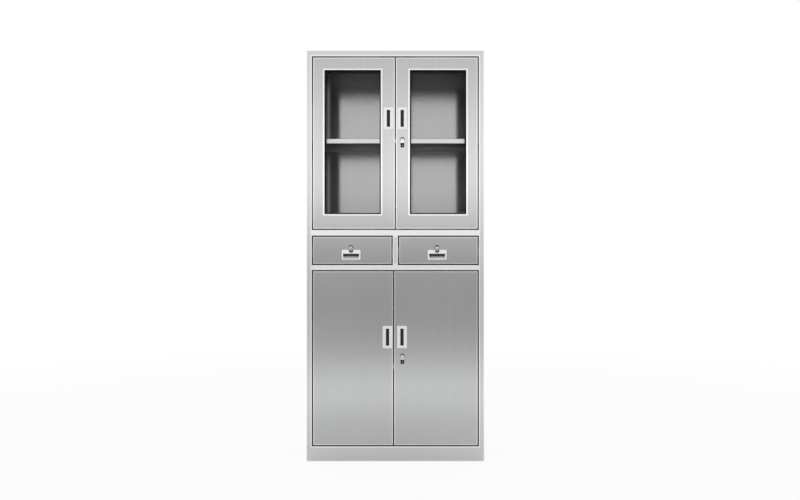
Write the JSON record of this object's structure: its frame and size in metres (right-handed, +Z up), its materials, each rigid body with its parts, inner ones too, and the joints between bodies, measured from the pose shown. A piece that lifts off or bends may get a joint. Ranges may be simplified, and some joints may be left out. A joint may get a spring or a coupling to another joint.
{
  "type": "anesthesia cabinet",
  "caption": "Tall free-standing stainless steel clinic cabinet with glazed upper doors, a row of drawers, solid lower doors, flush pulls and cam locks with folding keys.",
  "frame": {"origin": "on the floor under the middle of the whole cabinet, folded keys included", "axes": "+Z up, +X to the right seen from the front, +Y to the back, so the doors face -Y"},
  "size_m": [0.8, 0.409, 1.85],
  "materials": {
    "stainless_sheet": "brushed upright, satin",
    "frame_steel": "fine satin, lighter than the sheet",
    "pull_steel": "bright satin",
    "zinc_plate": "zinc plated, semi-bright",
    "lock_chrome": "chrome plated",
    "key_plastic": "black, moulded",
    "nylon": "black nylon",
    "catch_plastic": "dark grey, moulded",
    "glazing_rubber": "black, matt",
    "clear_glass": "clear, polished"
  },
  "bodies": {
    "cabinet": {"front_frame": "frame_steel", "left_side_panel": "stainless_sheet", "right_side_panel": "stainless_sheet", "back_panel": "stainless_sheet", "top_panel": "stainless_sheet", "upper_deck": "stainless_sheet", "lower_deck": "stainless_sheet", "base_panel": "stainless_sheet", "drawer_partition": "stainless_sheet", "slide_cheeks": "stainless_sheet", "upper_shelf": "stainless_sheet", "lower_shelf": "stainless_sheet", "shelf_standards": "zinc_plate", "shelf_clips": "zinc_plate", "outer_slides": "zinc_plate", "pivot_bushes": "nylon", "magnetic_catches": "catch_plastic"},
    "upper_left_door": {"upper_left_door_skin": "stainless_sheet", "upper_left_door_liner": "stainless_sheet", "upper_left_pull": "pull_steel", "upper_left_glass": "clear_glass", "upper_left_gasket": "glazing_rubber"},
    "upper_right_door": {"upper_right_door_skin": "stainless_sheet", "upper_right_door_liner": "stainless_sheet", "upper_right_pull": "pull_steel", "upper_right_glass": "clear_glass", "upper_right_gasket": "glazing_rubber", "upper_lock_barrel": "lock_chrome"},
    "lower_left_door": {"lower_left_door_skin": "stainless_sheet", "lower_left_door_liner": "stainless_sheet", "lower_left_pull": "pull_steel"},
    "lower_right_door": {"lower_right_door_skin": "stainless_sheet", "lower_right_door_liner": "stainless_sheet", "lower_right_pull": "pull_steel", "lower_lock_barrel": "lock_chrome"},
    "left_drawer": {"left_drawer_front": "stainless_sheet", "left_drawer_tray": "stainless_sheet", "left_drawer_pull": "pull_steel", "left_drawer_inner_slides": "zinc_plate", "left_drawer_lock_barrel": "lock_chrome"},
    "left_drawer_middle": {"left_drawer_middle_slides": "zinc_plate"},
    "right_drawer": {"right_drawer_front": "stainless_sheet", "right_drawer_tray": "stainless_sheet", "right_drawer_pull": "pull_steel", "right_drawer_inner_slides": "zinc_plate", "right_drawer_lock_barrel": "lock_chrome"},
    "right_drawer_middle": {"right_drawer_middle_slides": "zinc_plate"},
    "upper_lock": {"upper_lock_plug": "lock_chrome", "upper_lock_cam": "lock_chrome"},
    "upper_key": {"upper_key_bow": "key_plastic"},
    "lower_lock": {"lower_lock_plug": "lock_chrome", "lower_lock_cam": "lock_chrome"},
    "lower_key": {"lower_key_bow": "key_plastic"},
    "left_drawer_lock": {"left_drawer_lock_plug": "lock_chrome", "left_drawer_lock_cam": "lock_chrome"},
    "left_drawer_key": {"left_drawer_key_bow": "key_plastic"},
    "right_drawer_lock": {"right_drawer_lock_plug": "lock_chrome", "right_drawer_lock_cam": "lock_chrome"},
    "right_drawer_key": {"right_drawer_key_bow": "key_plastic"}
  },
  "joints": [
    {"name": "upper_left_door_hinge", "type": "hinge", "parent": "cabinet", "child": "upper_left_door", "pos_m": [-0.357, -0.1885, 1.046], "axis": [0, 0, -1], "range_deg": [0, 110]},
    {"name": "upper_right_door_hinge", "type": "hinge", "parent": "cabinet", "child": "upper_right_door", "pos_m": [0.357, -0.1885, 1.046], "axis": [0, 0, 1], "range_deg": [0, 110]},
    {"name": "lower_left_door_hinge", "type": "hinge", "parent": "cabinet", "child": "lower_left_door", "pos_m": [-0.357, -0.1885, 0.072], "axis": [0, 0, -1], "range_deg": [0, 110]},
    {"name": "lower_right_door_hinge", "type": "hinge", "parent": "cabinet", "child": "lower_right_door", "pos_m": [0.357, -0.1885, 0.072], "axis": [0, 0, 1], "range_deg": [0, 110]},
    {"name": "left_drawer_slide", "type": "slide", "parent": "cabinet", "child": "left_drawer", "axis": [0, -1, 0], "range_m": [0, 0.3]},
    {"name": "left_drawer_middle_slide", "type": "slide", "parent": "cabinet", "child": "left_drawer_middle", "axis": [0, -1, 0], "range_m": [0, 0.15]},
    {"name": "right_drawer_slide", "type": "slide", "parent": "cabinet", "child": "right_drawer", "axis": [0, -1, 0], "range_m": [0, 0.3]},
    {"name": "right_drawer_middle_slide", "type": "slide", "parent": "cabinet", "child": "right_drawer_middle", "axis": [0, -1, 0], "range_m": [0, 0.15]},
    {"name": "upper_lock_turn", "type": "hinge", "parent": "upper_right_door", "child": "upper_lock", "pos_m": [0.0315, -0.1955, 1.449], "axis": [0, 1, 0], "range_deg": [0, 90]},
    {"name": "upper_key_fold", "type": "hinge", "parent": "upper_lock", "child": "upper_key", "pos_m": [0.0315, -0.202, 1.449], "axis": [-1, 0, 0], "range_deg": [0, 90]},
    {"name": "lower_lock_turn", "type": "hinge", "parent": "lower_right_door", "child": "lower_lock", "pos_m": [0.0315, -0.1955, 0.475], "axis": [0, 1, 0], "range_deg": [0, 90]},
    {"name": "lower_key_fold", "type": "hinge", "parent": "lower_lock", "child": "lower_key", "pos_m": [0.0315, -0.202, 0.475], "axis": [-1, 0, 0], "range_deg": [0, 90]},
    {"name": "left_drawer_lock_turn", "type": "hinge", "parent": "left_drawer", "child": "left_drawer_lock", "pos_m": [-0.19925, -0.1955, 0.963], "axis": [0, 1, 0], "range_deg": [0, 90]},
    {"name": "left_drawer_key_fold", "type": "hinge", "parent": "left_drawer_lock", "child": "left_drawer_key", "pos_m": [-0.19925, -0.202, 0.963], "axis": [-1, 0, 0], "range_deg": [0, 90]},
    {"name": "right_drawer_lock_turn", "type": "hinge", "parent": "right_drawer", "child": "right_drawer_lock", "pos_m": [0.18825, -0.1955, 0.963], "axis": [0, 1, 0], "range_deg": [0, 90]},
    {"name": "right_drawer_key_fold", "type": "hinge", "parent": "right_drawer_lock", "child": "right_drawer_key", "pos_m": [0.18825, -0.202, 0.963], "axis": [-1, 0, 0], "range_deg": [0, 90]}
  ],
  "couplings": [
    {"joint": "left_drawer_middle_slide", "follows": "left_drawer_slide", "ratio": 0.5},
    {"joint": "right_drawer_middle_slide", "follows": "right_drawer_slide", "ratio": 0.5}
  ]
}
